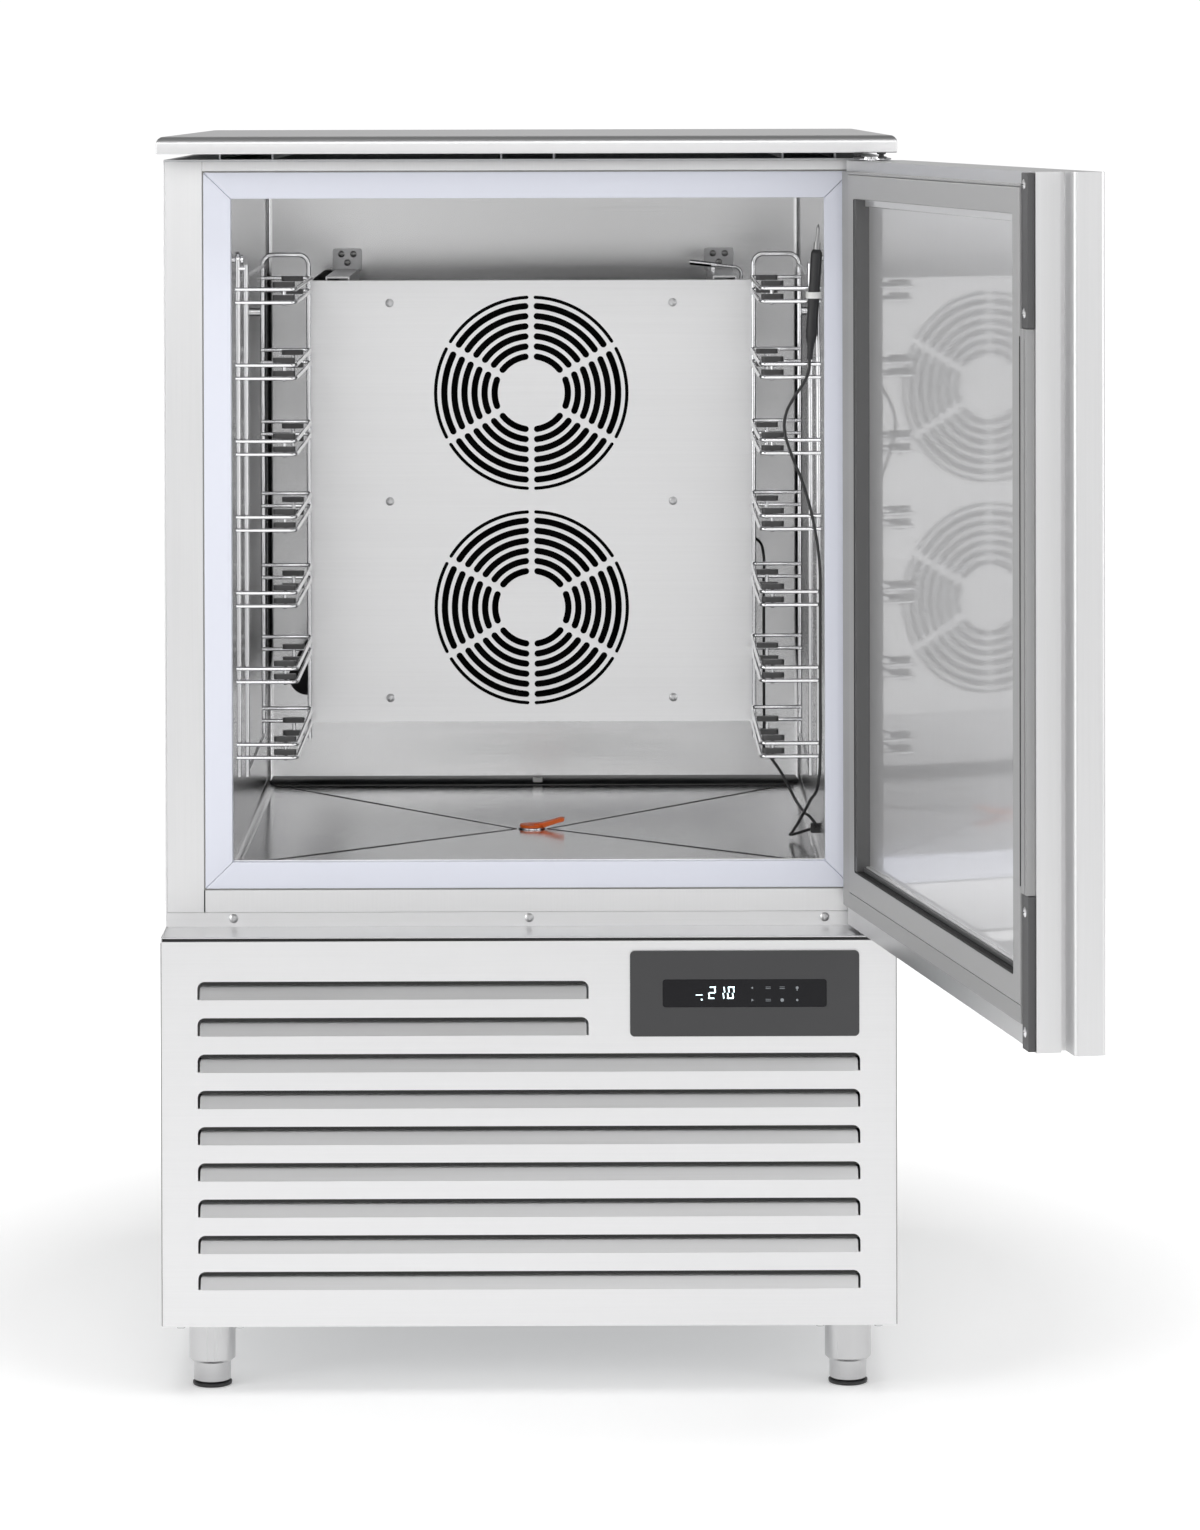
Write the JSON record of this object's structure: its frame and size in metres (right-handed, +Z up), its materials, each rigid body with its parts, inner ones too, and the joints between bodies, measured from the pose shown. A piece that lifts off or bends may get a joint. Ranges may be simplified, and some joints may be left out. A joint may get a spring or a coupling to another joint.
{
  "type": "blast chiller",
  "caption": "Free-standing steel blast chiller with an open hinged door, wire tray racks, fan guards, a core probe, a louvred machine compartment and levelling feet.",
  "frame": {"origin": "on the floor under the middle of the cabinet", "axes": "+X to the cabinet's right seen from the front, +Y to the back, +Z up"},
  "size_m": [0.9563, 1.5496, 1.37],
  "materials": {
    "casing": "fine horizontal brush",
    "sheet": "plain",
    "liner": "satin",
    "foam": "closed-cell foam",
    "frame": "satin",
    "bright": "polished",
    "legs": "satin",
    "dark_rubber": "soft",
    "plug": "soft",
    "dark_plastic": "satin",
    "white_plastic": "satin",
    "glass": "polished",
    "fins": "mill",
    "black_paint": "semi-gloss",
    "copper": "drawn tube"
  },
  "bodies": {
    "cabinet": {"worktop": "casing", "roof_panel": "sheet", "side_panel_left": "casing", "side_panel_right": "casing", "back_panel": "casing", "front_fascia": "casing", "machine_deck": "casing", "breaker_frame": "frame", "insulation": "foam", "liner_shell": "liner", "liner_floor": "liner", "drain_fitting": "bright", "evap_panel": "liner", "evap_fan_plate": "sheet", "evap_fan_motors": "dark_plastic", "evap_coil": "fins", "evap_brackets": "sheet", "drip_tray": "sheet", "pipe_insulation": "dark_rubber", "temp_sensor": "bright", "panel_screws": "bright", "bracket_rivets": "bright", "rack_left": "bright", "rack_right": "bright", "rack_stops": "dark_plastic", "rack_studs": "bright", "probe_spike": "bright", "probe_handle": "dark_plastic", "probe_relief": "dark_rubber", "probe_clip": "white_plastic", "probe_cord": "dark_rubber", "cord_clips": "dark_plastic", "base_tray": "sheet", "front_panel": "casing", "control_bezel": "dark_plastic", "control_glass": "glass", "compressor": "black_paint", "condenser_coil": "fins", "condenser_shroud": "sheet", "condenser_motor": "dark_plastic", "refrigerant_pipes": "copper", "electrical_box": "white_plastic", "foot_sleeves": "bright", "hinge_brackets": "bright"},
    "door": {"hinge_bushes": "white_plastic", "door_skin": "casing", "door_core": "foam", "door_liner": "liner", "door_gasket": "dark_rubber", "door_trim": "dark_plastic", "door_edge_plates": "dark_plastic", "door_screws": "bright"},
    "upper_fan": {"evap_fan_upper": "dark_plastic"},
    "lower_fan": {"evap_fan_lower": "dark_plastic"},
    "outer_fan": {"condenser_fan": "dark_plastic"},
    "plug": {"drain_plug": "plug"},
    "front_left_leg": {"foot_front_left": "legs"},
    "front_right_leg": {"foot_front_right": "legs"},
    "rear_left_leg": {"foot_rear_left": "legs"},
    "rear_right_leg": {"foot_rear_right": "legs"}
  },
  "joints": [
    {"name": "door_hinge", "type": "hinge", "parent": "cabinet", "child": "door", "pos_m": [0.376, -0.3705, 0.92], "axis": [0, 0, 1], "range_deg": [-100.4, 8]},
    {"name": "upper_fan_spin", "type": "hinge", "parent": "cabinet", "child": "upper_fan", "pos_m": [0, 0.079, 1.064], "axis": [0, 1, 0], "continuous": true},
    {"name": "lower_fan_spin", "type": "hinge", "parent": "cabinet", "child": "lower_fan", "pos_m": [0, 0.079, 0.812], "axis": [0, 1, 0], "continuous": true},
    {"name": "outer_fan_spin", "type": "hinge", "parent": "cabinet", "child": "outer_fan", "pos_m": [-0.1325, -0.28, 0.272], "axis": [0, 1, 0], "continuous": true},
    {"name": "plug_lift", "type": "slide", "parent": "cabinet", "child": "plug", "axis": [0, 0, 1], "range_m": [0, 0.04]},
    {"name": "front_left_leg_slide", "type": "slide", "parent": "cabinet", "child": "front_left_leg", "axis": [0, 0, -1], "range_m": [0, 0.03]},
    {"name": "front_right_leg_slide", "type": "slide", "parent": "cabinet", "child": "front_right_leg", "axis": [0, 0, -1], "range_m": [0, 0.03]},
    {"name": "rear_left_leg_slide", "type": "slide", "parent": "cabinet", "child": "rear_left_leg", "axis": [0, 0, -1], "range_m": [0, 0.03]},
    {"name": "rear_right_leg_slide", "type": "slide", "parent": "cabinet", "child": "rear_right_leg", "axis": [0, 0, -1], "range_m": [0, 0.03]}
  ]
}
